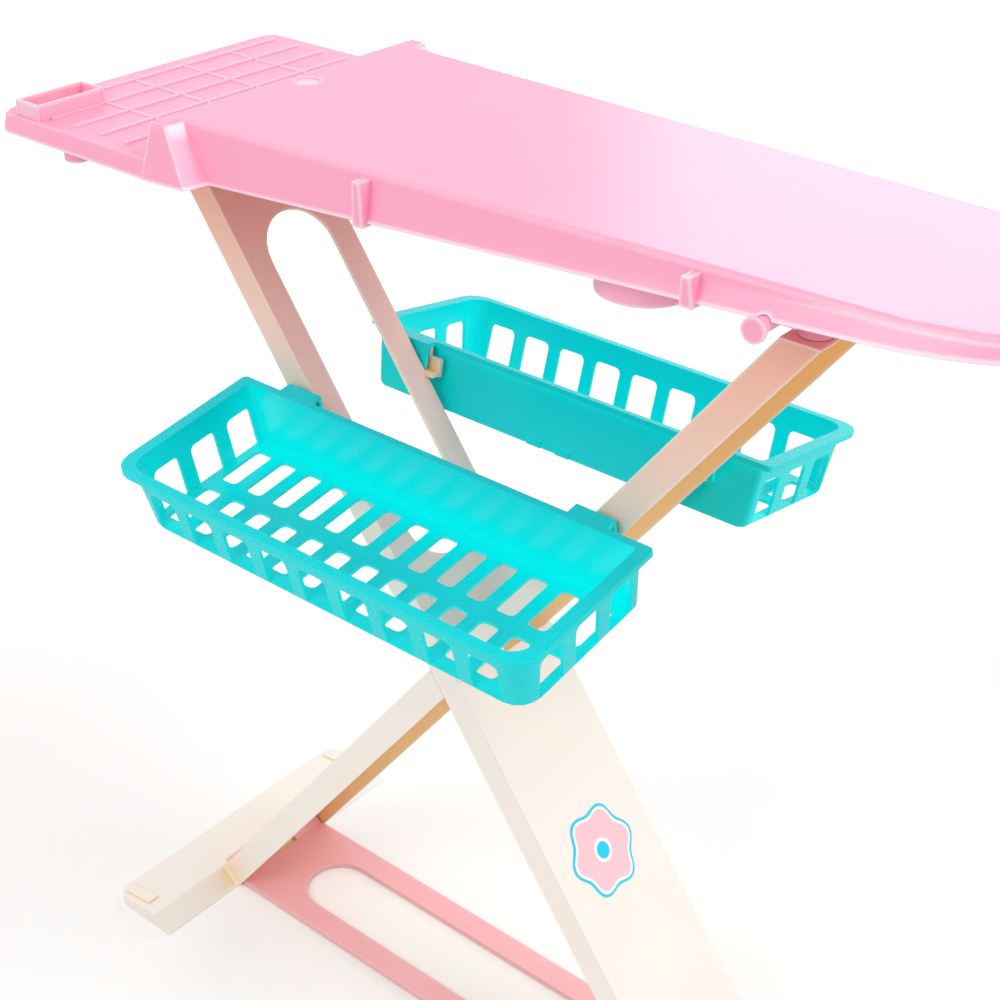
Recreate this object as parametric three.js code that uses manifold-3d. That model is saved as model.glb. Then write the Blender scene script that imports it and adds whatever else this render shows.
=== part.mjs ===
// Toy ironing board: a tapered board with an iron rest, two crossed channel legs with broad feet,
// a floor stretcher, two hanging baskets, a garment peg, a sticker and the leg screws.
// Millimetres. +X runs along the board to its nose, +Y to the far side, +Z up from the floor.

import * as THREE from 'three';
import { mergeVertices } from 'three/addons/utils/BufferGeometryUtils.js';
import Module from 'manifold-3d';

const wasm = await Module();
wasm.setup();

// Shared clearances
const gap = 0.35;          // between pieces that touch
const overrun = 5;         // how far a cutting solid runs past what it cuts
const weld = 0.8;          // how deep one feature of a moulding sinks into another

// Board top, measured from the crossing of the legs along X
const board = {
  height: 607,             // floor to the ironing surface
  noseX: 372,
  stepX: -160.3,           // where the top drops to the iron rest
  wall: 2.5,
  halfWidthAtStep: 96.3,   // of the straight sides, carried back to the step
  halfWidthAtNose: 75.35,  // where the nose begins to round
  noseLength: 122,
  noseSteps: 12,
  skirtAtStep: 32.8,
  skirtAtNose: 7.2,
  draft: 6.25,             // how far the skirt leans out at its lower edge
  edgeRadius: 3.5,
  edgeSteps: 3,
};

// Flared corner blocks at the wide end, top and bottom outline
const corner = {
  topWidth: 107.8,
  topLength: 12.3,
  topFacet: 2.4,
  bottomWidth: 116.4,
  bottomLength: 34.8,
  bottomFacet: 3,
};

// Iron rest
const rest = {
  endX: -292,
  depth: 10.6,             // from its surface to its lower rim
  drop: 22.4,              // below the ironing surface
  sideInset: 1.2,          // of its sides from the corner blocks' sides
  cornerRadius: 12,
  cornerSteps: 4,
  edgeRadius: 1.5,
  ribPitchX: 21.9,
  joinOverlap: 1.2,        // into the step wall
  ribPitchY: 40.7,
  ribFirstOffset: 14.6,    // from the outer end to the first cross rib
  crossRibs: 6,
  crossRibHalf: 101.5,     // half of a cross rib's length
  lengthRibs: 4,
  crossRibWidth: 2.8,
  lengthRibWidth: 1.6,
  crossRibHeight: 1.1,
  lengthRibHeight: 0.8,
  pocketWall: 2,
  pocketHeight: 9.4,
  pocketInset: 15,         // outer wall from the outer end
  pocketLength: 20.9,
  pocketInnerY: 61,
  pocketOuterY: 110,
  pocketSink: 0.6,
};

// Features of the board moulding
const detail = {
  padTopWidth: 4.7,
  padBottomWidth: 7,
  padProud: 9.4,
  padBelow: 1.6,
  padTopDrop: 3.4,
  padPlaces: [-17.7, 174.9],
  pegHoleRadius: 8,
  pegHoleDepth: 1.4,
  pegHoleX: -145.5,
  bigBossX: 134,
  bigBossY: -55.9,
  bigBossRadius: 24.4,
  bigBossWall: 2.2,
  bigBossBelow: 31.9,      // below the ironing surface
  footBossX: -240,
  footBossY: 97,
  footBossRadius: 9,
  footBossBelow: 44.6,
  footBossTaper: 1.5,
  ribThickness: 1.8,
  ribDepth: 8,
  rootInset: 1.6,          // of ribs and bosses from the outer faces they grow from
  longRibY: 33,
  longRibNoseGap: 84,
  crossRibSpacing: 92,
  crossRibCount: 4,
  crossRibFirst: 48,
};

// Legs: channel section, seen along Y
const leg = {
  angle: 53.4,             // from the floor, in degrees
  crossingHeight: 278.3,
  halfWidth: 44.4,
  depth: 18.1,
  wall: 2.4,
  panel: 2.5,
  topHeight: 566.5,
  topPlate: 2.5,
  slotHalfWidth: 26.5,
  slotStart: 63,           // along the leg from the crossing
  slotEnd: 295,
  slotSteps: 14,
};

// Feet
const foot = {
  halfWidth: 111.5,
  length: 58,
  outerHeight: 5.5,
  outerLean: 1.5,
  cornerRadius: 14,
  cornerSteps: 6,
  wall: 2.4,
  sideFillet: 4,
  filletSteps: 6,
  filletInset: 0.4,        // within the faces that it joins
  innerSetback: 0.3,
  lipHeight: 1.2,
  lipStart: 6,             // from the outer edge
  lipLength: 25,
  lipInnerY: 97,
  lipWidth: 9,
};

// Stretcher on the floor
const stretcher = {
  halfWidth: 41.6,
  bottom: 0.5,
  thickness: 3.6,
  slotHalfWidth: 24,
  slotEndX: 160,
  slotSteps: 14,
  cornerRadius: 3,
  cornerSteps: 3,
  tongue: 3,               // thickness of the upturned tongues
  tonguePoke: 2.6,         // how far they stand out of the leg panel
  tongueInnerY: 15,
  tongueWidth: 26,
};

// Baskets, in their own frame: X along, Y outward from the back wall, Z up from the rim
const basket = {
  length: 300,
  width: 105.4,
  depth: 42.3,
  wall: 2,
  floor: 2,
  flange: 2,
  flangeEnd: 6,
  flangeFront: 4,
  endTaper: 4.6,
  frontTaper: 4.8,
  lipHeight: 3.4,
  lipWidth: 1.6,
  cornerRadius: 14,
  backCornerRadius: 3,
  cornerSteps: 4,
  bottomRadius: 3.5,
  bottomSteps: 3,
  topBand: 14,
  openingRadius: 4,
  frontOpenings: 9,
  frontPitch: 29.2,
  frontOpening: 20.2,
  endOpenings: 3,
  endPitch: 29.2,
  endOpening: 19.3,
  endMiddle: 46,
  openingReach: 5,         // how far each opening is cut in past the outer edge of the floor
  flangeBack: 2.5,
  slotColumns: 13,
  slotPitch: 21.06,
  slotWidth: 12.6,
  slotLength: 32.6,
  slotRadius: 3,
  slotRowStarts: [12.4, 54.7],
  nubSpacing: 21.4,
  nubWidth: 10,
  nubProud: 1.3,
  tilt: 9.7,               // the rim leans down outward, in degrees
  rimHeight: 434.5,        // floor to the back edge of the rim
  hookShift: 3.6,          // middle of the hook from the middle of its lug's leg
  hookWidth: 26,
  hookReach: 10.8,
  hookPlate: 2.3,
  hookDrop: 17,
};

// Lugs on the legs that the basket hooks hang on, along X from the middle of the leg
const lug = {
  inner: -17.4,
  prongInner: -8.4,
  outer: 9.6,
  prong: 3,
  prongInset: 3,           // from the basket's back wall
  shelf: 3.2,
  sideHeight: 11.5,
  shelfInset: 0.3,         // of the shelf within the prong's outline
};

// Screws through the top plate of each leg into the bosses
const screw = {
  headRadius: 3.6,
  headHeight: 2.4,
  shankRadius: 1.5,
  length: 14,
  bossRadius: 8.8,
  spacing: 60,
  sides: 14,
};

// Garment peg, pushed into a socket under the board through a notch in the near skirt's lower edge
const peg = {
  x: 215.8,
  dropFromTop: 16.8,
  stemRadius: 4,
  headRadius: 6.4,
  headThickness: 1.6,
  flare: 6.4,
  proud: 8.6,              // from the lower skirt edge to the front of the head
  socketBehind: 18,        // from the lower skirt edge to the mouth of the socket
  socketDepth: 12,
  socketWall: 2.4,
  sides: 20,
};

// Flower sticker on the slotted leg
const sticker = {
  along: -142,             // centre along the leg from the crossing
  across: -2,
  radius: 28,
  scallop: 4.2,
  petals: 6,
  steps: 60,
  thickness: 0.4,
};

// Colours and finishes
const finish = {
  pink: { color: 0xfbbdd4, roughness: 0.28, metalness: 0 },
  coral: { color: 0xf4a3ae, roughness: 0.4, metalness: 0 },
  cream: { color: 0xf6e6d6, roughness: 0.42, metalness: 0 },
  turquoise: { color: 0x05d6d6, roughness: 0.3, metalness: 0 },
  steel: { color: 0xb8bcc2, roughness: 0.35, metalness: 1 },
  print: { color: 0xffc9d8, roughness: 0.35, metalness: 0 },
};

// Solids from geometry and back

function toSolid(geometry) {
  const bare = geometry.index ? geometry : geometry.clone();
  bare.deleteAttribute('normal');
  bare.deleteAttribute('uv');
  const merged = mergeVertices(bare);
  return new wasm.Manifold(new wasm.Mesh({
    numProp: 3,
    vertProperties: Float32Array.from(merged.attributes.position.array),
    triVerts: Uint32Array.from(merged.index.array),
  }));
}

function toGeometry(solid) {
  const mesh = solid.getMesh();
  const geometry = new THREE.BufferGeometry();
  const stride = mesh.numProp;
  const count = mesh.vertProperties.length / stride;
  const positions = new Float32Array(count * 3);
  for (let i = 0; i < count; i += 1) {
    positions.set(mesh.vertProperties.subarray(i * stride, i * stride + 3), i * 3);
  }
  geometry.setAttribute('position', new THREE.BufferAttribute(positions, 3));
  geometry.setIndex(Array.from(mesh.triVerts));
  geometry.computeVertexNormals();
  return geometry;
}

function union(solids) {
  return solids.reduce((whole, one) => whole.add(one));
}

function box(x0, x1, y0, y1, z0, z1, place = (geometry) => geometry) {
  const geometry = new THREE.BoxGeometry(x1 - x0, y1 - y0, z1 - z0);
  geometry.translate((x0 + x1) / 2, (y0 + y1) / 2, (z0 + z1) / 2);
  return toSolid(place(geometry));
}

// Prism of an outline in the XZ plane, from y0 to y1
function slab(points, y0, y1, place = (geometry) => geometry) {
  const shape = new THREE.Shape(points.map(([x, z]) => new THREE.Vector2(x, z)));
  const geometry = new THREE.ExtrudeGeometry(shape, { depth: y1 - y0, bevelEnabled: false });
  geometry.rotateX(Math.PI / 2);
  geometry.translate(0, y1, 0);
  return toSolid(place(geometry));
}

// Prism of an outline in the XY plane, from z0 to z1
function plate(points, z0, z1) {
  const shape = new THREE.Shape(points.map(([x, y]) => new THREE.Vector2(x, y)));
  const geometry = new THREE.ExtrudeGeometry(shape, { depth: z1 - z0, bevelEnabled: false });
  geometry.translate(0, 0, z0);
  return toSolid(geometry);
}

// Prism of an outline in the YZ plane, from x0 to x1
function panel(points, x0, x1, place = (geometry) => geometry) {
  const shape = new THREE.Shape(points.map(([y, z]) => new THREE.Vector2(y, z)));
  const geometry = new THREE.ExtrudeGeometry(shape, { depth: x1 - x0, bevelEnabled: false });
  const axes = [[0, 1, 0], [0, 0, 1], [1, 0, 0]].map((axis) => new THREE.Vector3(...axis));
  geometry.applyMatrix4(new THREE.Matrix4().makeBasis(...axes));
  geometry.translate(x0, 0, 0);
  return toSolid(place(geometry));
}

// Solid of revolution about Z from [radius, height] points that start and end on the axis
function turned(profile, sides) {
  const geometry = new THREE.LatheGeometry(profile.map(([r, h]) => new THREE.Vector2(r, h)), sides);
  geometry.rotateX(Math.PI / 2);
  return geometry;
}

// Closed skin over rings of equal length, listed from the lowest to the highest.
// Each ring runs anticlockwise seen from above.
function loft(rings) {
  const count = rings[0].length;
  const positions = rings.flat(2);
  const index = [];
  for (let k = 0; k + 1 < rings.length; k += 1) {
    for (let i = 0; i < count; i += 1) {
      const j = (i + 1) % count;
      const low = k * count;
      const high = low + count;
      index.push(low + i, low + j, high + j, low + i, high + j, high + i);
    }
  }
  const flat = (ring) => ring.map(([x, y]) => new THREE.Vector2(x, y));
  const last = (rings.length - 1) * count;
  for (const [a, b, c] of THREE.ShapeUtils.triangulateShape(flat(rings[0]), [])) index.push(a, c, b);
  for (const [a, b, c] of THREE.ShapeUtils.triangulateShape(flat(rings.at(-1)), [])) {
    index.push(last + a, last + b, last + c);
  }
  const geometry = new THREE.BufferGeometry();
  geometry.setAttribute('position', new THREE.Float32BufferAttribute(positions, 3));
  geometry.setIndex(index);
  return toSolid(geometry);
}

// Outlines

// Outline moved inward by a distance, with mitred corners
function inset(points, distance) {
  return points.map((point, i) => {
    const before = points[(i + points.length - 1) % points.length];
    const after = points[(i + 1) % points.length];
    const normals = [[before, point], [point, after]].map(([a, b]) => {
      const length = Math.hypot(b[0] - a[0], b[1] - a[1]);
      return [(a[1] - b[1]) / length, (b[0] - a[0]) / length];
    });
    const [m, n] = normals;
    const scale = distance / (1 + m[0] * n[0] + m[1] * n[1]);
    return [point[0] + (m[0] + n[0]) * scale, point[1] + (m[1] + n[1]) * scale];
  });
}

function arc(cx, cy, radius, from, to, steps) {
  return Array.from({ length: steps + 1 }, (_, i) => {
    const angle = from + ((to - from) * i) / steps;
    return [cx + radius * Math.cos(angle), cy + radius * Math.sin(angle)];
  });
}

// Rectangle with one radius per corner: lower left, lower right, upper right, upper left
function roundedRectangle(x0, x1, y0, y1, radii, steps) {
  const quarter = Math.PI / 2;
  const [a, b, c, d] = radii;
  const corner = (x, y, radius, turn) => (
    radius === 0 ? [[x, y]] : arc(x, y, radius, turn * quarter, (turn + 1) * quarter, steps)
  );
  return [
    ...corner(x0 + a, y0 + a, a, 2),
    ...corner(x1 - b, y0 + b, b, 3),
    ...corner(x1 - c, y1 - c, c, 0),
    ...corner(x0 + d, y1 - d, d, 1),
  ];
}

// Slot with round ends along X
function roundEndedSlot(x0, x1, halfWidth, steps) {
  const quarter = Math.PI / 2;
  return [
    ...arc(x1 - halfWidth, 0, halfWidth, -quarter, quarter, steps),
    ...arc(x0 + halfWidth, 0, halfWidth, quarter, 3 * quarter, steps),
  ];
}

// Board top

const boardLength = board.noseX - board.stepX;
const noseStart = board.noseX - board.noseLength;

function sideHalfWidth(x) {
  const share = (x - board.stepX) / (noseStart - board.stepX);
  return board.halfWidthAtStep + (board.halfWidthAtNose - board.halfWidthAtStep) * share;
}

function skirtBottom(x) {
  const share = (board.noseX - x) / boardLength;
  return board.height - board.skirtAtNose - (board.skirtAtStep - board.skirtAtNose) * share;
}

const topCorner = board.stepX + corner.topLength;
const bottomCorner = board.stepX + corner.bottomLength;
const topSide = topCorner + corner.topFacet;
const bottomSide = bottomCorner + corner.bottomFacet;

// Far half of the outline from the step to the nose tip, as [x, y]
const topHalf = [
  [board.stepX, corner.topWidth],
  [topCorner, corner.topWidth],
  [topSide, sideHalfWidth(topSide)],
];
const bottomHalf = [
  [board.stepX, corner.bottomWidth],
  [bottomCorner, corner.bottomWidth],
  [bottomSide, sideHalfWidth(bottomSide) + board.draft],
];
for (let i = 0; i <= board.noseSteps; i += 1) {
  const angle = (Math.PI / 2) * (i / board.noseSteps);
  const x = noseStart + board.noseLength * Math.sin(angle);
  const y = board.halfWidthAtNose * Math.cos(angle);
  const lean = board.draft * Math.cos(angle);
  topHalf.push([x - board.draft * Math.sin(angle), y]);
  bottomHalf.push([x, y + lean]);
}

function bothSides(half) {
  const near = half.slice(0, -1).map(([x, y]) => [x, -y]);
  const tip = [half.at(-1)[0], 0];
  return [...near, tip, ...half.slice(0, -1).reverse()];
}

const topOutline = bothSides(topHalf);
const bottomOutline = bothSides(bottomHalf);

// Outer form of the board, drawn in from its faces by a distance
function boardForm(shrink) {
  const outer = [inset(bottomOutline, shrink).map(([x, y]) => [x, y, skirtBottom(x) + shrink])];
  for (let i = 0; i <= board.edgeSteps; i += 1) {
    const angle = (Math.PI / 2) * (i / board.edgeSteps);
    const height = board.height - shrink - board.edgeRadius * (1 - Math.sin(angle));
    const ring = inset(topOutline, shrink + board.edgeRadius * (1 - Math.cos(angle)));
    outer.push(ring.map(([x, y]) => [x, y, height]));
  }
  return loft(outer);
}

function boardShell() {
  const innerBottom = inset(bottomOutline, board.wall);
  const innerTop = inset(topOutline, board.wall);
  const ceiling = board.height - board.wall;
  const inner = [
    innerBottom.map(([x, y]) => [x, y, skirtBottom(x) - overrun]),
    innerTop.map(([x, y]) => [x, y, ceiling]),
  ];
  return boardForm(0).subtract(loft(inner));
}

const restTop = board.height - rest.drop;
const restBottom = restTop - rest.depth;

// Half width of the rest at a height, in line with the corner blocks' leaning sides
function restHalfWidth(height) {
  const share = (board.height - height) / board.skirtAtStep;
  return corner.topWidth + (corner.bottomWidth - corner.topWidth) * share - rest.sideInset;
}

function restShell() {
  const joinX = board.stepX + rest.joinOverlap;
  const radii = [rest.cornerRadius, 0, 0, rest.cornerRadius];
  const level = (height, wall, end) => {
    const width = restHalfWidth(height) - wall;
    const ring = roundedRectangle(rest.endX + wall, end, -width, width, radii, rest.cornerSteps);
    return ring.map(([x, y]) => [x, y, height]);
  };
  const shoulder = level(restTop - rest.edgeRadius, 0, joinX);
  const crest = inset(shoulder, rest.edgeRadius).map(([x, y]) => [x, y, restTop]);
  const outer = loft([level(restBottom, 0, joinX), shoulder, crest]);
  const innerEnd = joinX + overrun;
  const inner = [restBottom - overrun, restTop - board.wall].map((z) => level(z, board.wall, innerEnd));
  return outer.subtract(loft(inner));
}

function restRibs() {
  const floor = restTop - weld;
  const crossTop = restTop + rest.crossRibHeight;
  const lengthTop = restTop + rest.lengthRibHeight;
  const firstX = rest.endX + rest.ribFirstOffset;
  const ribs = [];
  for (let i = 0; i < rest.crossRibs; i += 1) {
    const x = firstX + i * rest.ribPitchX;
    const x0 = x - rest.crossRibWidth / 2;
    const half = rest.crossRibHalf;
    ribs.push(box(x0, x0 + rest.crossRibWidth, -half, half, floor, crossTop));
  }
  for (let i = 0; i < rest.lengthRibs; i += 1) {
    const y = (i - (rest.lengthRibs - 1) / 2) * rest.ribPitchY;
    const y0 = y - rest.lengthRibWidth / 2;
    ribs.push(box(firstX, board.stepX + weld, y0, y0 + rest.lengthRibWidth, floor, lengthTop));
  }
  return union(ribs);
}

function restPocket() {
  const x0 = rest.endX + rest.pocketInset;
  const x1 = x0 + rest.pocketLength;
  const top = restTop + rest.pocketHeight;
  const outer = box(x0, x1, -rest.pocketOuterY, -rest.pocketInnerY, restTop - weld, top);
  const wall = rest.pocketWall;
  const inner = box(
    x0 + wall, x1 - wall, wall - rest.pocketOuterY, -wall - rest.pocketInnerY,
    restTop - rest.pocketSink, top + overrun,
  );
  return { block: outer, hollow: inner };
}

function skirtPads() {
  const pads = detail.padPlaces.map((x) => {
    const front = sideHalfWidth(x) + detail.padProud;
    const bottom = skirtBottom(x) - detail.padBelow;
    const top = board.height - detail.padTopDrop;
    const outline = [
      [x, bottom], [x + detail.padBottomWidth, bottom], [x + detail.padTopWidth, top], [x, top],
    ];
    return slab(outline, -front, detail.rootInset - sideHalfWidth(x));
  });
  return union(pads);
}

function cylinder(x, y, z0, z1, lower, upper, sides) {
  const geometry = turned([[0, z0], [lower, z0], [upper, z1], [0, z1]], sides);
  geometry.translate(x, y, 0);
  return toSolid(geometry);
}

const legRun = 1 / Math.tan(THREE.MathUtils.degToRad(leg.angle));
const legSine = Math.sin(THREE.MathUtils.degToRad(leg.angle));
const legCosine = Math.cos(THREE.MathUtils.degToRad(leg.angle));
const halfDepthAlongX = leg.depth / 2 / legSine;

// X of the leg's centre line at a height, for the leg that rises towards the nose
function legCentre(height) {
  return (height - leg.crossingHeight) * legRun;
}

const screwX = legCentre(leg.topHeight);
const bossBottom = leg.topHeight + gap;

function undersideBosses() {
  const bosses = [];
  const boardCeiling = board.height - detail.rootInset;
  const restSideCeiling = -screwX < board.stepX ? restTop - weld : boardCeiling;
  for (const side of [-1, 1]) {
    const y = (side * screw.spacing) / 2;
    const radius = screw.bossRadius;
    bosses.push(cylinder(screwX, y, bossBottom, boardCeiling, radius, radius, 20));
    bosses.push(cylinder(-screwX, y, bossBottom, restSideCeiling, radius, radius, 20));
    bosses.push(cylinder(
      detail.footBossX, side * detail.footBossY, board.height - detail.footBossBelow, restTop - weld,
      detail.footBossRadius - detail.footBossTaper, detail.footBossRadius, 20,
    ));
  }
  const radius = detail.bigBossRadius;
  bosses.push(cylinder(
    detail.bigBossX, detail.bigBossY, board.height - detail.bigBossBelow, boardCeiling,
    radius, radius, 32,
  ));
  return union(bosses);
}

function undersideHollows() {
  const hollows = [];
  const bore = screw.shankRadius + gap;
  for (const x of [screwX, -screwX]) {
    for (const side of [-1, 1]) {
      const top = bossBottom + screw.length;
      hollows.push(cylinder(x, (side * screw.spacing) / 2, bossBottom - overrun, top, bore, bore, screw.sides));
    }
  }
  const radius = detail.bigBossRadius - detail.bigBossWall;
  hollows.push(cylinder(
    detail.bigBossX, detail.bigBossY, board.height - detail.bigBossBelow - overrun,
    board.height - board.wall, radius, radius, 32,
  ));
  return union(hollows);
}

function undersideRibs() {
  const half = detail.ribThickness / 2;
  const top = board.height - detail.rootInset;
  const bottom = board.height - board.wall - detail.ribDepth;
  const start = board.stepX + detail.rootInset;
  const ribs = [];
  for (const side of [-1, 1]) {
    const y = side * detail.longRibY;
    ribs.push(box(start, board.noseX - detail.longRibNoseGap, y - half, y + half, bottom, top));
  }
  for (let i = 0; i < detail.crossRibCount; i += 1) {
    const x = board.stepX + detail.crossRibFirst + i * detail.crossRibSpacing;
    const reach = sideHalfWidth(x) - detail.rootInset;
    ribs.push(box(x - half, x + half, -reach, reach, bottom, top));
  }
  return union(ribs);
}

const pegZ = board.height - peg.dropFromTop;
const pegSkirtY = sideHalfWidth(peg.x) + board.draft;
const pegMouth = pegSkirtY - peg.socketBehind;
const pegRoot = pegMouth - peg.socketDepth;

// Block under the board that holds the stem
function pegSocket() {
  const half = peg.stemRadius + gap + peg.socketWall;
  return box(
    peg.x - half, peg.x + half, -pegMouth, peg.socketWall - pegRoot, pegZ - half,
    board.height - detail.rootInset,
  );
}

// Turned form along Y
function alongY(profile, sides) {
  const geometry = turned(profile, sides);
  geometry.rotateX(Math.PI / 2);
  return geometry;
}

function pegBore() {
  const radius = peg.stemRadius + gap;
  const geometry = alongY(
    [[0, pegRoot - gap], [radius, pegRoot - gap], [radius, pegSkirtY + overrun], [0, pegSkirtY + overrun]],
    peg.sides,
  );
  geometry.translate(peg.x, 0, pegZ);
  return toSolid(geometry);
}

function boardTop() {
  const pocket = restPocket();
  const recess = cylinder(
    detail.pegHoleX, 0, board.height - detail.pegHoleDepth, board.height + overrun,
    detail.pegHoleRadius, detail.pegHoleRadius, 24,
  );
  return union([
    boardShell(), restShell(), restRibs(), pocket.block, skirtPads(), undersideBosses(),
    undersideRibs(), pegSocket(),
  ]).subtract(undersideHollows()).subtract(pegBore()).subtract(recess).subtract(pocket.hollow);
}

// Legs

// Outline across the leg between two heights, moved in from its upper and lower faces
function legSection(bottom, top, fromUpper, fromLower) {
  const upper = (z) => legCentre(z) - halfDepthAlongX + fromUpper / legSine;
  const lower = (z) => legCentre(z) + halfDepthAlongX - fromLower / legSine;
  return [[lower(bottom), bottom], [lower(top), top], [upper(top), top], [upper(bottom), bottom]];
}

const footInnerX = legCentre(0) + halfDepthAlongX - foot.innerSetback;
const footCrest = [footInnerX - leg.depth * legSine, leg.depth * legCosine];
const footOuterX = footInnerX - foot.length;
const footShoulder = [footOuterX + foot.outerLean, foot.outerHeight];

// Foot section across its length, closed below at a height under or on the floor
function footSection(bottom) {
  return [
    [footInnerX - (bottom * legSine) / legCosine, bottom],
    footCrest,
    footShoulder,
    [footOuterX + (bottom * foot.outerLean) / foot.outerHeight, bottom],
  ];
}

function footBar() {
  const half = foot.halfWidth;
  const corners = [foot.cornerRadius, 0, 0, foot.cornerRadius];
  const outline = roundedRectangle(footOuterX, footInnerX, -half, half, corners, foot.cornerSteps);
  const outer = slab(footSection(0), -half, half)
    .intersect(plate(outline, -overrun, footCrest[1] + overrun));
  const insideHalf = half - foot.wall;
  const radius = foot.cornerRadius - foot.wall;
  const insideOutline = roundedRectangle(
    footOuterX + foot.wall, footInnerX + overrun, -insideHalf, insideHalf, [radius, 0, 0, radius],
    foot.cornerSteps,
  );
  const inside = slab(inset(footSection(-overrun - foot.wall), foot.wall), -insideHalf, insideHalf)
    .intersect(plate(insideOutline, -overrun, footCrest[1]));
  return outer.subtract(inside);
}

function footTop(x) {
  const share = (x - footShoulder[0]) / (footCrest[0] - footShoulder[0]);
  return footShoulder[1] + (footCrest[1] - footShoulder[1]) * share;
}

function footLip(side) {
  const x0 = footOuterX + foot.lipStart;
  const x1 = x0 + foot.lipLength;
  const section = [
    [x0, footTop(x0) - weld], [x1, footTop(x1) - weld],
    [x1, footTop(x1) + foot.lipHeight], [x0, footTop(x0) + foot.lipHeight],
  ];
  const ys = [side * foot.lipInnerY, side * (foot.lipInnerY + foot.lipWidth)];
  return slab(section, Math.min(...ys), Math.max(...ys));
}

// Own frame of a leg: X through its depth to the lower face, Z along it, origin at the crossing
function alongLeg(geometry) {
  geometry.rotateY(Math.PI / 2 - THREE.MathUtils.degToRad(leg.angle));
  geometry.translate(0, 0, leg.crossingHeight);
  return geometry;
}

const footAlong = footInnerX * legCosine - leg.crossingHeight * legSine;
const upperFace = -leg.depth / 2;

// Curve between the leg's side and the foot
function sideFillet(side) {
  const radius = foot.sideFillet;
  const y = leg.halfWidth + radius - foot.filletInset;
  const along = footAlong + radius - foot.filletInset;
  const outline = [
    [leg.halfWidth - weld, footAlong - weld], [y, footAlong - weld],
    ...arc(y, along, radius, -Math.PI / 2, -Math.PI, foot.filletSteps),
    [leg.halfWidth - weld, along],
  ];
  const face = -upperFace - foot.filletInset;
  return panel(outline.map(([a, b]) => [side * a, b]), -face, face, alongLeg);
}

// Baskets hang with their rim leaning down outward
const tilt = THREE.MathUtils.degToRad(basket.tilt);
const basketY = leg.halfWidth + gap + basket.hookReach * Math.cos(tilt) + basket.hookDrop * Math.sin(tilt);

function farBasketFrame(geometry) {
  geometry.rotateX(-tilt);
  geometry.translate(0, basketY, basket.rimHeight);
  return geometry;
}

function nearBasketFrame(geometry) {
  geometry.rotateZ(Math.PI);
  geometry.rotateX(tilt);
  geometry.translate(0, -basketY, basket.rimHeight);
  return geometry;
}

// X of the leg's middle at the height where the hooks end
const hangX = legCentre(basket.rimHeight - basket.hookDrop);

function legLug(mirror, place) {
  const inside = hangX + lug.inner;
  const prongInside = hangX + lug.prongInner;
  const outside = hangX + lug.outer;
  const shelfTop = -basket.hookDrop - gap;
  const shelfBottom = shelfTop - lug.shelf;
  const reach = leg.halfWidth - weld - basketY - shelfTop * Math.sin(tilt);
  const inner = reach / Math.cos(tilt);
  const face = -lug.prongInset;
  const sideTop = shelfBottom + lug.sideHeight;
  const prongTop = -basket.hookPlate - gap;
  const outline = [
    [inside, shelfBottom], [outside, shelfBottom], [outside, prongTop],
    [prongInside, prongTop], [prongInside, sideTop], [inside, sideTop],
  ];
  const xs = [mirror * (inside + lug.shelfInset), mirror * (outside - lug.shelfInset)];
  const shelf = box(
    Math.min(...xs), Math.max(...xs), inner, face - lug.shelfInset,
    shelfBottom + lug.shelfInset, shelfTop, place,
  );
  return slab(outline.map(([x, z]) => [mirror * x, z]), face - lug.prong, face, place).add(shelf);
}

// Point beside the sloping inner wall of the foot
function besideWall(away, along) {
  return [
    footInnerX + away * legCosine - along * legSine,
    away * legSine + along * legCosine,
  ];
}

function tongueHole(side) {
  const away = [-gap, stretcher.tongue + gap + gap];
  const along = [leg.depth - leg.panel - weld, leg.depth + overrun];
  const section = [
    besideWall(away[0], along[0]), besideWall(away[1], along[0]),
    besideWall(away[1], along[1]), besideWall(away[0], along[1]),
  ];
  const ys = [stretcher.tongueInnerY - gap, stretcher.tongueInnerY + stretcher.tongueWidth + gap];
  const placed = ys.map((y) => side * y);
  return slab(section, Math.min(...placed), Math.max(...placed));
}

// Notch for the half lap where the other leg passes on the near side
function lapNotch() {
  const reach = leg.depth * 2;
  const low = leg.crossingHeight - reach;
  const high = leg.crossingHeight + reach;
  const other = legSection(low, high, -gap, -gap).map(([x, z]) => [-x, z]);
  return slab(other, -leg.halfWidth - overrun, gap / 2);
}

// Leg that rises towards the nose; turned half a turn about Z it rises towards the iron rest
function legSolid(slotted) {
  const inner = leg.halfWidth - leg.wall;
  const channel = slab(
    legSection(-overrun, leg.topHeight - leg.topPlate, leg.panel, -overrun), -inner, inner,
  );
  const belowFloor = box(
    footOuterX - overrun, footInnerX + overrun, -foot.halfWidth - overrun, foot.halfWidth + overrun,
    -overrun, 0,
  );
  let solid = slab(legSection(0, leg.topHeight, 0, 0), -leg.halfWidth, leg.halfWidth).subtract(channel);
  solid = union([
    solid, footBar(), footLip(-1), footLip(1), sideFillet(-1), sideFillet(1),
    legLug(1, farBasketFrame), legLug(-1, nearBasketFrame),
  ]).subtract(lapNotch()).subtract(belowFloor);
  for (const side of [-1, 1]) {
    const bore = screw.shankRadius + gap;
    const bottom = leg.topHeight - leg.topPlate - overrun;
    const y = (side * screw.spacing) / 2;
    solid = solid.subtract(cylinder(screwX, y, bottom, leg.topHeight + overrun, bore, bore, screw.sides));
    solid = solid.subtract(tongueHole(side));
  }
  if (slotted) {
    const outline = roundEndedSlot(leg.slotStart, leg.slotEnd, leg.slotHalfWidth, leg.slotSteps);
    const swapped = outline.map(([along, across]) => [across, along]);
    solid = solid.subtract(
      panel(swapped, upperFace - overrun, upperFace + leg.panel + overrun, alongLeg),
    );
  }
  return solid;
}

// Stretcher

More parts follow.
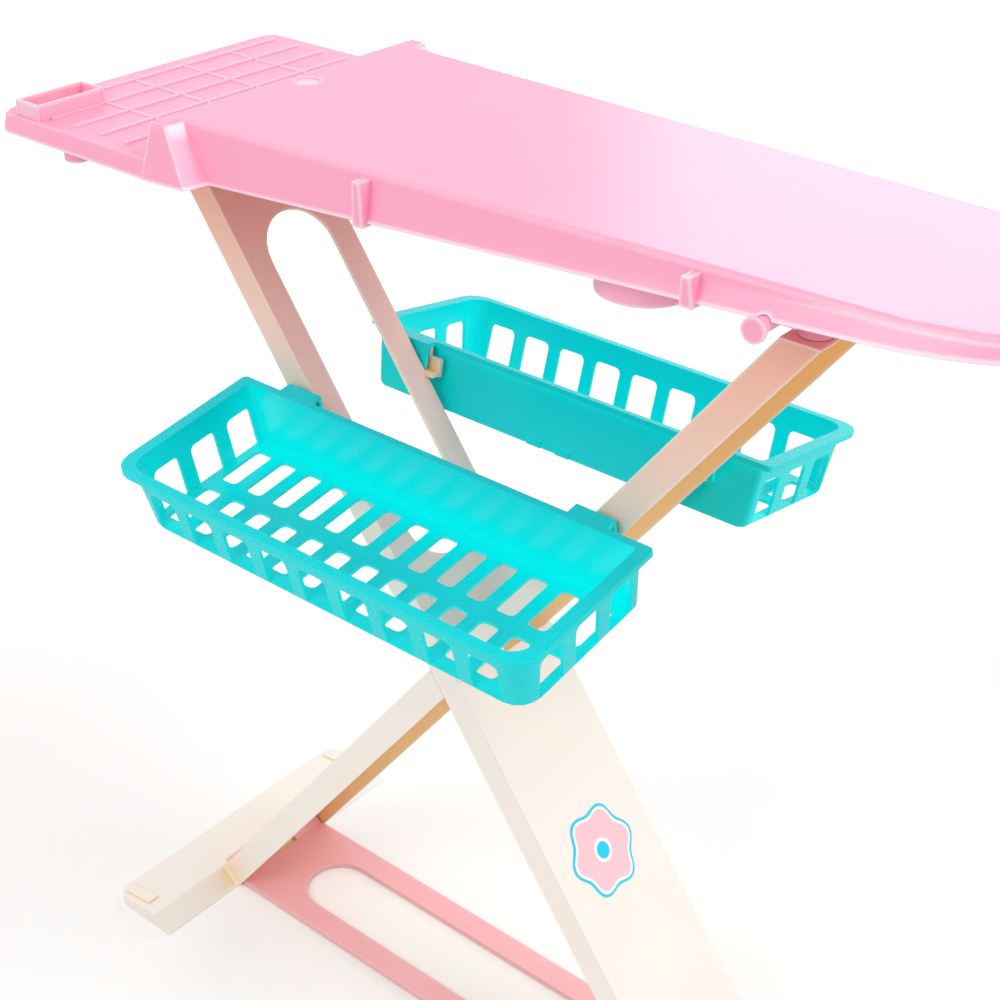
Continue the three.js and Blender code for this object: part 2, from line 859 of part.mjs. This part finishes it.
function stretcherSolid() {
  const end = -footInnerX - gap;
  const half = stretcher.halfWidth;
  const radius = stretcher.cornerRadius;
  const top = stretcher.bottom + stretcher.thickness;
  const outline = roundedRectangle(
    -end, end, -half, half, [radius, radius, radius, radius], stretcher.cornerSteps,
  );
  const slot = roundEndedSlot(
    -stretcher.slotEndX, stretcher.slotEndX, stretcher.slotHalfWidth, stretcher.slotSteps,
  );
  let solid = plate(outline, stretcher.bottom, top)
    .subtract(plate(slot, stretcher.bottom - overrun, top + overrun));
  const away = [gap, gap + stretcher.tongue];
  const alongAt = (distance, height) => (height - distance * legSine) / legCosine;
  const tip = leg.depth + stretcher.tonguePoke;
  const section = [
    besideWall(away[0], alongAt(away[0], stretcher.bottom)),
    [footInnerX + overrun, stretcher.bottom],
    [footInnerX + overrun, top - weld],
    besideWall(away[1], alongAt(away[1], top - weld)),
    besideWall(away[1], tip),
    besideWall(away[0], tip),
  ];
  const mirrored = section.map(([x, z]) => [-x, z]);
  const y0 = stretcher.tongueInnerY;
  const y1 = y0 + stretcher.tongueWidth;
  for (const shape of [section, mirrored]) {
    solid = solid.add(slab(shape, y0, y1)).add(slab(shape, -y1, -y0));
  }
  return solid;
}

// Baskets

// Horizontal ring of a basket's wall, drawn in from the outside by its thickness and a fillet
function basketRing(height, wall, shrink, back) {
  const share = -height / basket.depth;
  const half = basket.length / 2 - basket.flangeEnd - basket.endTaper * share - shrink - wall;
  const front = basket.width - basket.flangeFront - basket.frontTaper * share - shrink - wall;
  const radius = basket.cornerRadius - wall - shrink;
  const small = basket.backCornerRadius;
  const outline = roundedRectangle(
    -half, half, back, front, [small, small, radius, radius], basket.cornerSteps,
  );
  return outline.map(([x, y]) => [x, y, height]);
}

function basketSkin(wall, floor, back, top) {
  const radius = basket.bottomRadius - wall;
  const rings = [];
  for (let i = 0; i <= basket.bottomSteps; i += 1) {
    const angle = (Math.PI / 2) * (i / basket.bottomSteps);
    const height = floor - basket.depth + radius * (1 - Math.cos(angle));
    rings.push(basketRing(height, wall, radius * (1 - Math.sin(angle)), back));
  }
  rings.push(basketRing(top, wall, 0, back));
  return loft(rings);
}

// Opening with rounded upper corners in a wall, down to the floor, as [across, height]
function wallOpening(centre, width) {
  const half = width / 2;
  const radius = basket.openingRadius;
  const top = -basket.topBand;
  const low = basket.floor - basket.depth;
  return [
    [centre - half, low], [centre + half, low],
    ...arc(centre + half - radius, top - radius, radius, 0, Math.PI / 2, basket.cornerSteps),
    ...arc(centre - half + radius, top - radius, radius, Math.PI / 2, Math.PI, basket.cornerSteps),
  ];
}

function basketOpenings() {
  const cuts = [];
  const floorFront = basket.width - basket.flangeFront - basket.frontTaper;
  const front = [floorFront - basket.openingReach, basket.width + overrun];
  for (let i = 0; i < basket.frontOpenings; i += 1) {
    const x = (i - (basket.frontOpenings - 1) / 2) * basket.frontPitch;
    cuts.push(slab(wallOpening(x, basket.frontOpening), ...front));
  }
  const floorEnd = basket.length / 2 - basket.flangeEnd - basket.endTaper;
  const end = [floorEnd - basket.openingReach, basket.length / 2 + overrun];
  for (let i = 0; i < basket.endOpenings; i += 1) {
    const y = basket.endMiddle + (i - (basket.endOpenings - 1) / 2) * basket.endPitch;
    const outline = wallOpening(y, basket.endOpening);
    cuts.push(panel(outline, end[0], end[1]));
    cuts.push(panel(outline, -end[1], -end[0]));
  }
  return cuts;
}

function basketSlots() {
  const cuts = [];
  const r = basket.slotRadius;
  const half = basket.slotWidth / 2;
  for (const start of basket.slotRowStarts) {
    for (let i = 0; i < basket.slotColumns; i += 1) {
      const x = (i - (basket.slotColumns - 1) / 2) * basket.slotPitch;
      const outline = roundedRectangle(x - half, x + half, start, start + basket.slotLength, [r, r, r, r], 2);
      cuts.push(plate(outline, -basket.depth - overrun, basket.floor - basket.depth + weld));
    }
  }
  return cuts;
}

function basketSolid() {
  const half = basket.length / 2;
  const round = basket.cornerRadius;
  const small = basket.backCornerRadius;
  const rim = roundedRectangle(
    -half, half, -basket.flangeBack, basket.width, [small, small, round, round], basket.cornerSteps,
  );
  const underside = plate(
    inset(rim, basket.lipWidth), -basket.lipHeight - overrun, -basket.flange,
  );
  const flange = plate(rim, -basket.lipHeight, 0).subtract(underside);
  const features = [flange, basketSkin(0, 0, 0, -weld)];
  for (const side of [-1, 1]) {
    const middle = side * (hangX + basket.hookShift);
    const x0 = middle - basket.hookWidth / 2;
    const x1 = middle + basket.hookWidth / 2;
    const tip = -basket.hookReach;
    const inside = tip + basket.hookPlate;
    const hook = [
      [tip, -basket.hookDrop], [inside, -basket.hookDrop], [inside, -basket.hookPlate],
      [weld, -basket.hookPlate], [weld, 0], [tip, 0],
    ];
    features.push(panel(hook, x0, x1));
    const nub = (side * basket.nubSpacing) / 2;
    const nubHalf = basket.nubWidth / 2;
    features.push(box(
      nub - nubHalf, nub + nubHalf, -basket.nubProud, weld, -basket.depth, basket.lipHeight - basket.depth,
    ));
  }
  let solid = union(features).subtract(basketSkin(basket.wall, basket.floor, basket.wall, overrun));
  for (const cut of [...basketOpenings(), ...basketSlots()]) solid = solid.subtract(cut);
  return solid;
}

// Small pieces

function pegSolid() {
  const front = pegSkirtY + peg.proud;
  const head = front - peg.headThickness;
  const geometry = alongY([
    [0, pegRoot], [peg.stemRadius, pegRoot], [peg.stemRadius, head - peg.flare],
    [peg.headRadius, head], [peg.headRadius, front], [0, front],
  ], peg.sides);
  geometry.translate(peg.x, 0, pegZ);
  return toSolid(geometry);
}

function screwSolid(x, y) {
  const headTop = leg.topHeight - leg.topPlate - gap;
  const tip = bossBottom + screw.length - gap;
  const geometry = turned([
    [0, headTop - screw.headHeight], [screw.headRadius, headTop - screw.headHeight],
    [screw.headRadius, headTop], [screw.shankRadius, headTop], [screw.shankRadius, tip], [0, tip],
  ], screw.sides);
  geometry.translate(x, y, 0);
  return toSolid(geometry);
}

function stickerSolid() {
  const outline = Array.from({ length: sticker.steps }, (_, i) => {
    const angle = (2 * Math.PI * i) / sticker.steps;
    const radius = sticker.radius + sticker.scallop * (Math.cos(sticker.petals * angle) - 1) / 2;
    return [radius * Math.cos(angle) - sticker.across, sticker.along + radius * Math.sin(angle)];
  });
  const face = upperFace - gap;
  return panel(outline, face - sticker.thickness, face, alongLeg);
}

// Assembly

function piece(name, solid, look) {
  const mesh = new THREE.Mesh(toGeometry(solid), new THREE.MeshStandardMaterial(look));
  mesh.name = name;
  return mesh;
}

const model = new THREE.Group();
model.name = 'toy_ironing_board';
const assembly = new THREE.Group();
assembly.name = 'assembly';
assembly.position.x = -(board.noseX + rest.endX) / 2;
model.add(assembly);

const restLeg = new THREE.Group();
restLeg.name = 'rest_side';
restLeg.rotation.z = Math.PI;
restLeg.add(piece('leg_slotted', legSolid(true), finish.cream));
restLeg.add(piece('flower_sticker', stickerSolid(), finish.print));

const basketNear = piece('basket_near', basketSolid(), finish.turquoise);
basketNear.rotation.set(tilt, 0, Math.PI);
basketNear.position.set(0, -basketY, basket.rimHeight);
const basketFar = piece('basket_far', basketSolid(), finish.turquoise);
basketFar.rotation.x = -tilt;
basketFar.position.set(0, basketY, basket.rimHeight);

assembly.add(
  piece('board_top', boardTop(), finish.pink),
  restLeg,
  piece('leg_plain', legSolid(false), finish.cream),
  piece('stretcher', stretcherSolid(), finish.coral),
  basketNear,
  basketFar,
  piece('garment_peg', pegSolid(), finish.pink),
);
for (const [end, x] of [['nose', screwX], ['rest', -screwX]]) {
  for (const [side, y] of [['near', -screw.spacing / 2], ['far', screw.spacing / 2]]) {
    assembly.add(piece(`screw_${end}_${side}`, screwSolid(x, y), finish.steel));
  }
}

export default model;
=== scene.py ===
"""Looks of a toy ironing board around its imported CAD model, seen from the photograph's viewpoint."""

import math

import bmesh
import bpy
from mathutils import Matrix, Vector


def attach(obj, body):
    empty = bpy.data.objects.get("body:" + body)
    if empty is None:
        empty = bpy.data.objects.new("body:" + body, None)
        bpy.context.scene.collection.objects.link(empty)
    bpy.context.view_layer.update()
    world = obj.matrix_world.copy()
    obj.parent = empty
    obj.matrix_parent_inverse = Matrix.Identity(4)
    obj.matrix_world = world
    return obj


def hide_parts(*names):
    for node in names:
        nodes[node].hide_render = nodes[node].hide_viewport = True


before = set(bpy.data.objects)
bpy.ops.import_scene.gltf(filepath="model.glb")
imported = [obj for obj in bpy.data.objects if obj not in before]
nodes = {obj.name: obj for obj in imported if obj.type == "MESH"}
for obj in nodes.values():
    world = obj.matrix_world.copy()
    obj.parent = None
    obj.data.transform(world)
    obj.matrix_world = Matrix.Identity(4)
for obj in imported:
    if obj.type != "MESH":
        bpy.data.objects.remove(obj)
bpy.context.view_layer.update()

MM = 0.001
WHITE = (1, 1, 1)

# The photograph's camera, fitted to the object. Pixels count on a 1000 x 1000 frame.
AZIMUTH = 40.11
ELEVATION = 26.23
ROLL = 0.52
DISTANCE = 1050.84 * MM
TARGET = Vector((-69.91, 0, 458.87)) * MM
FOCAL_PIXELS = 1808.38
CENTRE_PIXEL = (456.72, 366.95)
FRAME_PIXELS = 1000
SENSOR = 36.0
CLIP_NEAR = 0.05
CLIP_FAR = 20

# Lamps: name, place and aim in metres, width, height, watts, colour
LAMPS = (
    ("key", (1.9, 0.6, 2.3), (0, 0, 0.4), 1.25, 1.25, 28, (1, 0.99, 0.99)),
    ("back", (-0.5, 2.35, 1.65), (0, 0, 0.6), 1.9, 0.9, 11, (1, 1, 0.99)),
    ("left", (-2.5, -0.3, 1.6), (-0.1, 0, 0.3), 1.6, 1.6, 10, (1, 0.99, 0.99)),
    ("front", (-0.2, -2.2, 2.2), (0, 0, 0.4), 1.7, 1.7, 22, (1, 0.98, 0.96)),
)
WORLD_COLOUR = (1.0, 0.985, 0.975)
WORLD_STRENGTH = 0.6

# The floor: its colour to the camera and to the light it throws back, and the white glow that takes
# over with the distance from the middle
FLOOR_REACH = 6.0
FLOOR_SEEN = (0.93, 0.92, 0.915)
FLOOR_THROWN = (0.86, 0.84, 0.82)
GLOW_STARTS = 0.6
GLOW_ENDS = 2.4
GLOW_NEAR = 0.1
GLOW_FAR = 0.9

# Moulded plastic: noise scales per metre, bump strengths and depths
FLOW_SCALE = 16.0
FLOW_DISTORTION = 0.6
WAVE_SCALE = 22.0
WAVE_STRENGTH = 0.08
WAVE_DEPTH = 1.5 * MM
SKIN_SCALE = 900.0
SKIN_STRENGTH = 0.07
SKIN_DEPTH = 0.03 * MM
ROUGHNESS_SPREAD = 0.15
# Painted glow: between these two levels the plastic is painted paler where it is thin, for light that
# shines through it and along its edges
THIN_GLOW_FULL = 0.55           # openness inside the plastic at which it is at its palest
THIN_GLOW_NONE = 0.95           # and at which it isn't paler at all
BEVEL_SAMPLES = 6
OPENNESS_SAMPLES = 8

# Screws
STEEL_COLOUR = (0.55, 0.56, 0.58)
STEEL_ROUGHNESS = (0.25, 0.45)
SCRATCH_SCALE = 1400.0

# Smoothing of the CAD meshes
WELD = 0.02 * MM
SHARP_ANGLE = math.radians(33)

# The legs' lean and the flower's place on the slotted leg, as in the CAD
LEG_ANGLE = math.radians(53.4)
CROSSING = Vector((-40, 0, 278.3)) * MM
FLOWER_ALONG = -142 * MM
FLOWER_ACROSS = -2 * MM
FLOWER_RADIUS = 28 * MM
FLOWER_SCALLOP = 4.2 * MM
FLOWER_PETALS = 6
FLOWER_STEPS = 180
EYE_GAP_RADIUS = 7.4 * MM
EYE_RADIUS = 5.2 * MM
PRINT_SCALE = 700.0
PRINT_SHADE = 0.96
PRINT_ROUGHNESS = (0.3, 0.4)


# Camera, light and floor

def make_camera():
    azimuth, elevation, roll = (math.radians(a) for a in (AZIMUTH, ELEVATION, ROLL))
    back = Vector((
        math.sin(azimuth) * math.cos(elevation),
        -math.cos(azimuth) * math.cos(elevation),
        math.sin(elevation),
    ))
    right = (-back).cross(Vector((0, 0, 1))).normalized()
    up = right.cross(-back)
    rolled_right = right * math.cos(roll) + up * math.sin(roll)
    rolled_up = up * math.cos(roll) - right * math.sin(roll)
    data = bpy.data.cameras.new("camera")
    data.sensor_width = SENSOR
    data.lens = SENSOR * FOCAL_PIXELS / FRAME_PIXELS
    data.shift_x = (FRAME_PIXELS / 2 - CENTRE_PIXEL[0]) / FRAME_PIXELS
    data.shift_y = (CENTRE_PIXEL[1] - FRAME_PIXELS / 2) / FRAME_PIXELS
    data.clip_start = CLIP_NEAR
    data.clip_end = CLIP_FAR
    camera = bpy.data.objects.new("camera", data)
    bpy.context.collection.objects.link(camera)
    place = Matrix((rolled_right, rolled_up, back)).transposed().to_4x4()
    place.translation = TARGET + back * DISTANCE
    camera.matrix_world = place
    bpy.context.scene.camera = camera


def area_light(name, place, aim, width, height, power, colour):
    data = bpy.data.lights.new(name, "AREA")
    data.shape = "RECTANGLE"
    data.size = width
    data.size_y = height
    data.energy = power
    data.color = colour
    lamp = bpy.data.objects.new(name, data)
    bpy.context.collection.objects.link(lamp)
    lamp.location = place
    lamp.rotation_mode = "QUATERNION"
    lamp.rotation_quaternion = (Vector(aim) - Vector(place)).to_track_quat("-Z", "Y")


def seen_directly(tree):
    """Socket that is 1 for camera, glossy and transmission rays."""
    path = tree.nodes.new("ShaderNodeLightPath")
    total = path.outputs["Is Camera Ray"]
    for name in ("Is Glossy Ray", "Is Transmission Ray"):
        more = tree.nodes.new("ShaderNodeMath")
        more.operation = "MAXIMUM"
        tree.links.new(total, more.inputs[0])
        tree.links.new(path.outputs[name], more.inputs[1])
        total = more.outputs[0]
    return total


def make_world():
    """Soft light from all sides that is plain white where it is seen or reflected."""
    world = bpy.data.worlds.new("studio")
    bpy.context.scene.world = world
    world.use_nodes = True
    tree = world.node_tree
    tree.nodes.clear()
    soft = tree.nodes.new("ShaderNodeBackground")
    soft.inputs["Color"].default_value = (*WORLD_COLOUR, 1)
    soft.inputs["Strength"].default_value = WORLD_STRENGTH
    white = tree.nodes.new("ShaderNodeBackground")
    white.inputs["Color"].default_value = (*WHITE, 1)
    white.inputs["Strength"].default_value = 1.0
    mix = tree.nodes.new("ShaderNodeMixShader")
    out = tree.nodes.new("ShaderNodeOutputWorld")
    tree.links.new(seen_directly(tree), mix.inputs[0])
    tree.links.new(soft.outputs[0], mix.inputs[1])
    tree.links.new(white.outputs[0], mix.inputs[2])
    tree.links.new(mix.outputs[0], out.inputs["Surface"])


def floor_material():
    """Paper that keeps the object's shadow and fades to the white of the background."""
    material = bpy.data.materials.new("floor_white")
    material.use_nodes = True
    tree = material.node_tree
    tree.nodes.clear()
    seen = tree.nodes.new("ShaderNodeBsdfDiffuse")
    seen.inputs["Color"].default_value = (*FLOOR_SEEN, 1)
    thrown = tree.nodes.new("ShaderNodeBsdfDiffuse")
    thrown.inputs["Color"].default_value = (*FLOOR_THROWN, 1)
    glow = tree.nodes.new("ShaderNodeEmission")
    glow.inputs["Color"].default_value = (*WHITE, 1)
    distance = tree.nodes.new("ShaderNodeVectorMath")
    distance.operation = "LENGTH"
    tree.links.new(tree.nodes.new("ShaderNodeTexCoord").outputs["Object"], distance.inputs[0])
    fade = map_range(tree, distance.outputs["Value"], GLOW_STARTS, GLOW_ENDS, GLOW_NEAR, GLOW_FAR)
    tree.links.new(fade, glow.inputs["Strength"])
    add = tree.nodes.new("ShaderNodeAddShader")
    mix = tree.nodes.new("ShaderNodeMixShader")
    out = tree.nodes.new("ShaderNodeOutputMaterial")
    tree.links.new(seen.outputs[0], add.inputs[0])
    tree.links.new(glow.outputs[0], add.inputs[1])
    path = tree.nodes.new("ShaderNodeLightPath")
    tree.links.new(path.outputs["Is Camera Ray"], mix.inputs[0])
    tree.links.new(thrown.outputs[0], mix.inputs[1])
    tree.links.new(add.outputs[0], mix.inputs[2])
    tree.links.new(mix.outputs[0], out.inputs["Surface"])
    return material


def make_floor():
    mesh = bpy.data.meshes.new("floor")
    bm = bmesh.new()
    corners = ((-1, -1), (1, -1), (1, 1), (-1, 1))
    bm.faces.new([bm.verts.new((x * FLOOR_REACH, y * FLOOR_REACH, 0)) for x, y in corners])
    bm.to_mesh(mesh)
    bm.free()
    floor = bpy.data.objects.new("floor", mesh)
    bpy.context.collection.objects.link(floor)
    mesh.materials.append(floor_material())


# Materials

def linear(red, green, blue):
    """sRGB bytes as a linear colour."""
    def one(byte):
        share = byte / 255
        return share / 12.92 if share <= 0.04045 else ((share + 0.055) / 1.055) ** 2.4
    return tuple(one(byte) for byte in (red, green, blue))


def noise(tree, place, scale, detail, distortion=0.0):
    texture = tree.nodes.new("ShaderNodeTexNoise")
    texture.inputs["Scale"].default_value = scale
    texture.inputs["Detail"].default_value = detail
    texture.inputs["Distortion"].default_value = distortion
    tree.links.new(place, texture.inputs["Vector"])
    return texture.outputs["Fac"]


def map_range(tree, value, low, high, to_low, to_high):
    node = tree.nodes.new("ShaderNodeMapRange")
    node.inputs["From Min"].default_value = low
    node.inputs["From Max"].default_value = high
    node.inputs["To Min"].default_value = to_low
    node.inputs["To Max"].default_value = to_high
    tree.links.new(value, node.inputs["Value"])
    return node.outputs["Result"]


def mix_colour(tree, factor, first, second):
    """Mix of two colours, each a plain colour or a socket."""
    node = tree.nodes.new("ShaderNodeMix")
    node.data_type = "RGBA"
    tree.links.new(factor, node.inputs["Factor"])
    for socket, value in ((node.inputs[6], first), (node.inputs[7], second)):
        if isinstance(value, tuple):
            socket.default_value = (*value, 1)
        else:
            tree.links.new(value, socket)
    return node.outputs[2]


def bump(tree, height, strength, depth, normal):
    node = tree.nodes.new("ShaderNodeBump")
    node.inputs["Strength"].default_value = strength
    node.inputs["Distance"].default_value = depth
    tree.links.new(height, node.inputs["Height"])
    tree.links.new(normal, node.inputs["Normal"])
    return node.outputs["Normal"]


def soft_edges(tree, radius):
    """Normal that turns over the sharp edges within a radius."""
    node = tree.nodes.new("ShaderNodeBevel")
    node.samples = BEVEL_SAMPLES
    node.inputs["Radius"].default_value = radius
    return node.outputs["Normal"]


def openness(tree, reach, inside=False):
    """How open a point is within a reach, on the outside or inside the plastic of its own piece."""
    node = tree.nodes.new("ShaderNodeAmbientOcclusion")
    node.samples = OPENNESS_SAMPLES
    node.inside = inside
    node.only_local = True
    node.inputs["Distance"].default_value = reach
    return node.outputs["AO"]


def plastic(name, colour, flow_colour, painted_hollow_shading, painted_thin_glow, roughness, edge, gloss, painted_bounce_shade=None):
    """Moulded plastic with a faint flow tint and an uneven gloss.

    painted_hollow_shading: colour painted into hollows as shade and bounced light (lighter inside the
    turquoise, as painted light), reach of the test, openness where it is full and where it ends.
    painted_thin_glow: colour painted where the plastic is thin, as a painted glow of light through it and
    along its edges, that thickness, its share.
    painted_bounce_shade: colour that comes in with the height, painted bounce light and shade from the
    board above, the two heights, its share at the upper one.
    """
    material = bpy.data.materials.new(name)
    material.use_nodes = True
    tree = material.node_tree
    shader = tree.nodes["Principled BSDF"]
    place = tree.nodes.new("ShaderNodeTexCoord").outputs["Object"]

    flow = noise(tree, place, FLOW_SCALE, 3.0, FLOW_DISTORTION)
    tinted = mix_colour(tree, map_range(tree, flow, 0.3, 0.7, 0.0, 1.0), colour, flow_colour)
    # Painted bounce light and shade: a salmon tint grows towards the top, where the board above shades the
    # legs and throws its pink light on them.
    if painted_bounce_shade is not None:
        bounce_shade_colour, low, high, share = painted_bounce_shade
        split = tree.nodes.new("ShaderNodeSeparateXYZ")
        tree.links.new(place, split.inputs[0])
        bounce_shade_share = map_range(tree, split.outputs["Z"], low, high, 0.0, share)
        tinted = mix_colour(tree, bounce_shade_share, tinted, bounce_shade_colour)
    # Painted shade: the colour turns to the hollow colour where the piece closes in around a point; for
    # the turquoise that colour is lighter, so it is painted light.
    painted_hollow_colour, reach, shut_at, open_at = painted_hollow_shading
    depth = map_range(tree, openness(tree, reach), shut_at, open_at, 1.0, 0.0)
    # Painted glow: paler where the plastic is thin, a painted highlight for light that shines through it
    # and along its edges.
    painted_glow_colour, thickness, share = painted_thin_glow
    inner = openness(tree, thickness, True)
    painted_glow_share = map_range(tree, inner, THIN_GLOW_FULL, THIN_GLOW_NONE, share, 0.0)
    shaded = mix_colour(tree, depth, tinted, painted_hollow_colour)
    tree.links.new(mix_colour(tree, painted_glow_share, shaded, painted_glow_colour), shader.inputs["Base Color"])

    skin = noise(tree, place, SKIN_SCALE, 2.0)
    low, high = roughness * (1 - ROUGHNESS_SPREAD), roughness * (1 + ROUGHNESS_SPREAD)
    tree.links.new(map_range(tree, skin, 0.0, 1.0, low, high), shader.inputs["Roughness"])
    waves = noise(tree, place, WAVE_SCALE, 1.0)
    sink = bump(tree, waves, WAVE_STRENGTH, WAVE_DEPTH, soft_edges(tree, edge))
    tree.links.new(bump(tree, skin, SKIN_STRENGTH, SKIN_DEPTH, sink), shader.inputs["Normal"])

    shader.inputs["Specular IOR Level"].default_value = gloss
    return material


def steel(name):
    material = bpy.data.materials.new(name)
    material.use_nodes = True
    tree = material.node_tree
    shader = tree.nodes["Principled BSDF"]
    shader.inputs["Base Color"].default_value = (*STEEL_COLOUR, 1)
    shader.inputs["Metallic"].default_value = 1.0
    place = tree.nodes.new("ShaderNodeTexCoord").outputs["Object"]
    scratches = noise(tree, place, SCRATCH_SCALE, 2.0)
    rough = map_range(tree, scratches, 0.0, 1.0, *STEEL_ROUGHNESS)
    tree.links.new(rough, shader.inputs["Roughness"])
    return material


def print_ink(name, colour):
    material = bpy.data.materials.new(name)
    material.use_nodes = True
    tree = material.node_tree
    shader = tree.nodes["Principled BSDF"]
    place = tree.nodes.new("ShaderNodeTexCoord").outputs["Object"]
    grain = noise(tree, place, PRINT_SCALE, 2.0)
    shade = tuple(PRINT_SHADE * channel for channel in colour)
    tree.links.new(mix_colour(tree, grain, colour, shade), shader.inputs["Base Color"])
    rough = map_range(tree, grain, 0.0, 1.0, *PRINT_ROUGHNESS)
    tree.links.new(rough, shader.inputs["Roughness"])
    return material


# Plastics. Each hollow colour is painted into the hollows as shade (as light inside the turquoise, where
# it is lighter). Each thin colour is a painted glow where the plastic is thin. The cream's warm colour is
# painted bounce light and shade from the board above the legs.
PINK = plastic(
    "pink_plastic", colour=linear(254, 166, 199), flow_colour=linear(254, 170, 202),
    painted_hollow_shading=(linear(250, 90, 138), 20 * MM, 0.1, 0.7),
    painted_thin_glow=(linear(255, 228, 238), 2.3 * MM, 0.8),
    roughness=0.3, edge=0.45 * MM, gloss=0.85,
)
CORAL = plastic(
    "coral_plastic", colour=linear(254, 188, 194), flow_colour=linear(254, 184, 190),
    painted_hollow_shading=(linear(252, 124, 116), 25 * MM, 0.1, 0.6),
    painted_thin_glow=(linear(255, 210, 216), 1.9 * MM, 0.6),
    roughness=0.34, edge=0.5 * MM, gloss=0.5,
)
CREAM = plastic(
    "cream_plastic", colour=linear(253, 246, 239), flow_colour=linear(253, 243, 235),
    painted_hollow_shading=(linear(254, 210, 122), 120 * MM, 0.35, 0.92),
    painted_thin_glow=(linear(254, 247, 240), 1.9 * MM, 0.6),
    roughness=0.42, edge=0.5 * MM, gloss=0.5,
    painted_bounce_shade=(linear(246, 166, 130), 330 * MM, 575 * MM, 0.8),
)
TEAL = plastic(
    "turquoise_plastic", colour=linear(0, 228, 233), flow_colour=linear(0, 225, 230),
    painted_hollow_shading=(linear(0, 255, 255), 60 * MM, 0.65, 0.98),
    painted_thin_glow=(linear(40, 246, 248), 1.0 * MM, 0.4),
    roughness=0.27, edge=0.45 * MM, gloss=0.22,
)
STEEL = steel("zinc_steel")


# Pieces

def smoothed(node, name, material, body):
    """Copy of a CAD node with smooth round faces and crisp edges, in place of the node."""
    bm = bmesh.new()
    bm.from_mesh(nodes[node].data)
    bmesh.ops.remove_doubles(bm, verts=bm.verts, dist=WELD)
    bm.verts.index_update()
    places = [vert.co[:] for vert in bm.verts]
    faces = [[vert.index for vert in face.verts] for face in bm.faces]
    bm.free()
    mesh = bpy.data.meshes.new(name)
    mesh.from_pydata(places, [], faces)
    piece = bpy.data.objects.new(name, mesh)
    bpy.context.collection.objects.link(piece)
    mesh.shade_smooth()
    mesh.set_sharp_from_angle(angle=SHARP_ANGLE)
    weighted = piece.modifiers.new("normals", "WEIGHTED_NORMAL")
    weighted.keep_sharp = True
    graph = bpy.context.evaluated_depsgraph_get()
    finished = bpy.data.meshes.new_from_object(piece.evaluated_get(graph))
    piece.modifiers.clear()
    piece.data = finished
    finished.name = name
    finished.materials.append(material)
    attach(piece, body)
    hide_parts(node)


def flower_outline(inset, radius=FLOWER_RADIUS, scallop=FLOWER_SCALLOP):
    points = []
    for i in range(FLOWER_STEPS):
        turn = 2 * math.pi * i / FLOWER_STEPS
        reach = radius - inset + scallop * (math.cos(FLOWER_PETALS * turn) - 1) / 2
        points.append((reach * math.cos(turn), reach * math.sin(turn)))
    return points


def flower_layer(name, outline, low, high, material):
    """Flat layer of the flower between two depths under the face of the sticker."""
    up_leg = Vector((-math.cos(LEG_ANGLE), 0, math.sin(LEG_ANGLE)))
    outward = Vector((math.sin(LEG_ANGLE), 0, math.cos(LEG_ANGLE)))
    across = Vector((0, 1, 0))
    sticker = nodes["flower_sticker"]
    face = max((sticker.matrix_world @ v.co).dot(outward) for v in sticker.data.vertices)
    middle = CROSSING + up_leg * FLOWER_ALONG + across * FLOWER_ACROSS
    middle += outward * (face - middle.dot(outward))
    bm = bmesh.new()
    rings = []
    for depth in (low, high):
        flat = [middle + across * a + up_leg * b - outward * depth for a, b in outline]
        rings.append([bm.verts.new(place) for place in flat])
    count = len(outline)
    bm.faces.new(rings[1])
    bm.faces.new(rings[0][::-1])
    for i in range(count):
        j = (i + 1) % count
        bm.faces.new((rings[0][i], rings[0][j], rings[1][j], rings[1][i]))
    bmesh.ops.recalc_face_normals(bm, faces=bm.faces)
    mesh = bpy.data.meshes.new(name)
    bm.to_mesh(mesh)
    bm.free()
    mesh.materials.append(material)
    layer = bpy.data.objects.new(name, mesh)
    bpy.context.collection.objects.link(layer)
    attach(layer, "stand")
    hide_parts("flower_sticker")


def dress(name, material):
    mesh = nodes[name].data
    mesh.materials.clear()
    mesh.materials.append(material)


make_camera()
make_world()
make_floor()
for lamp_numbers in LAMPS:
    area_light(*lamp_numbers)

smoothed("board_top", "board", PINK, "stand")
smoothed("garment_peg", "peg", PINK, "stand")
smoothed("stretcher", "floor_stretcher", CORAL, "stand")
smoothed("leg_slotted", "slotted_leg", CREAM, "stand")
smoothed("leg_plain", "plain_leg", CREAM, "stand")
smoothed("basket_near", "near_basket_shell", TEAL, "near_basket")
smoothed("basket_far", "far_basket_shell", TEAL, "far_basket")

# The flower's layers from the lowest up: name, outline, upper and lower depth in millimetres, ink
for name, outline, low, high, ink, colour in (
    ("flower_edge", flower_outline(0), 0.24, 0.66, "cyan_print", (0, 214, 246)),
    ("flower_gap", flower_outline(1.7 * MM), 0.16, 0.24, "white_print", (255, 252, 253)),
    ("flower_petals", flower_outline(3.6 * MM), 0.08, 0.16, "pink_print", (255, 206, 218)),
    ("flower_eye_gap", flower_outline(0, EYE_GAP_RADIUS, 0), 0.04, 0.08, "eye_gap_print", (255, 252, 253)),
    ("flower_eye", flower_outline(0, EYE_RADIUS, 0), 0, 0.04, "eye_print", (0, 214, 246)),
):
    flower_layer(name, outline, low * MM, high * MM, print_ink(ink, linear(*colour)))

for screw in ("screw_nose_near", "screw_nose_far", "screw_rest_near", "screw_rest_far"):
    dress(screw, STEEL)

scene = bpy.context.scene
scene.view_settings.view_transform = "Standard"
